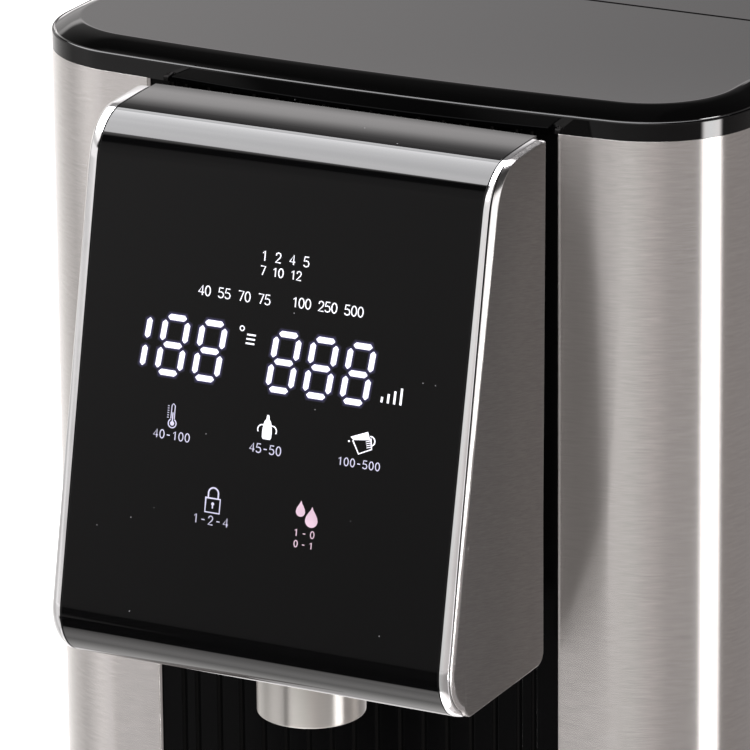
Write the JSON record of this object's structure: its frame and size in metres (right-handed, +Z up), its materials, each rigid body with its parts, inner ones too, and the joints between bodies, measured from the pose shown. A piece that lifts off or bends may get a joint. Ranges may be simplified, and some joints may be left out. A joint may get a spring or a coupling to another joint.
{
  "type": "countertop hot-water dispenser",
  "caption": "Countertop hot-water dispenser: steel-clad column with a leaning glass touch display and nozzle, lift-out rear water tank with hinged lid, and pull-out drip tray with grate.",
  "frame": {"origin": "on the table surface, at the middle of the object's footprint", "axes": "+Z up, the display and drip tray face -Y, the water tank is towards +Y, +X to the right seen from the front"},
  "size_m": [0.17, 0.2696, 0.3036],
  "materials": {
    "brushed_steel": "fine horizontal brushing",
    "cheek_steel": "fine brushing",
    "chrome_trim": "polished",
    "black_gloss": "gloss",
    "black_satin": "satin",
    "display_glass": "black tempered glass",
    "lit_segments": "lit",
    "board_green": "solder mask",
    "board_parts": "moulded",
    "nozzle_steel": "satin",
    "heater_metal": "satin",
    "white_plastic": "moulded",
    "motor_metal": "plated",
    "rubber_black": "matte",
    "seal_red": "silicone",
    "hose_silicone": "silicone",
    "tank_clear": "smoke-tinted, see-through",
    "grate_steel": "satin",
    "small_steel": "plated",
    "valve_blue": "moulded"
  },
  "bodies": {
    "machine": {"base_shell": "black_satin", "bottom_plate": "black_satin", "rubber_feet": "rubber_black", "base_screws": "small_steel", "cord_gland": "rubber_black", "column_frame": "black_satin", "back_plate": "black_satin", "steel_panel_left": "brushed_steel", "steel_panel_right": "brushed_steel", "ribbed_panel": "black_gloss", "top_rim": "black_gloss", "front_cover": "black_gloss", "head_housing": "black_satin", "head_cheek_left": "cheek_steel", "head_cheek_right": "cheek_steel", "head_trim_left": "chrome_trim", "head_trim_right": "chrome_trim", "display_glass": "display_glass", "display_board": "board_green", "led_block": "lit_segments", "nozzle_sleeve": "nozzle_steel", "nozzle_insert": "black_satin", "heater_tube": "heater_metal", "heater_caps": "white_plastic", "heater_bracket": "heater_metal", "thermal_cutout": "white_plastic", "pump_body": "white_plastic", "pump_motor": "motor_metal", "pump_cradle": "rubber_black", "power_board": "board_green", "board_parts": "board_parts", "inlet_hose": "hose_silicone", "feed_hose": "hose_silicone", "outlet_hose": "hose_silicone", "dock_socket": "black_satin", "dock_seal": "seal_red"},
    "drip_tray_body": {"drip_tray": "black_satin"},
    "drip_grate_body": {"drip_grate": "grate_steel"},
    "tank_body": {"water_tank": "tank_clear", "valve_body": "white_plastic", "valve_spring": "small_steel", "filter_cartridge": "white_plastic", "lid_hinge_pin": "small_steel"},
    "tank_lid_body": {"tank_lid": "black_gloss", "lid_seal": "hose_silicone"},
    "valve_plunger_body": {"valve_plunger": "valve_blue"}
  },
  "joints": [
    {"name": "tray_slide", "type": "slide", "parent": "machine", "child": "drip_tray_body", "axis": [0, -1, 0], "range_m": [0, 0.07]},
    {"name": "grate_lift", "type": "slide", "parent": "drip_tray_body", "child": "drip_grate_body", "axis": [0, 0, 1], "range_m": [0, 0.04]},
    {"name": "tank_lift", "type": "slide", "parent": "machine", "child": "tank_body", "axis": [0, 0, 1], "range_m": [0, 0.265]},
    {"name": "lid_hinge", "type": "hinge", "parent": "tank_body", "child": "tank_lid_body", "pos_m": [0, 0.1312, 0.297], "axis": [-1, 0, 0], "range_deg": [0, 95]},
    {"name": "valve_slide", "type": "slide", "parent": "tank_body", "child": "valve_plunger_body", "axis": [0, 0, 1], "range_m": [0, 0.002], "stiffness_N_per_m": 150, "springref_m": -0.004, "deforming": ["valve_spring"]}
  ]
}
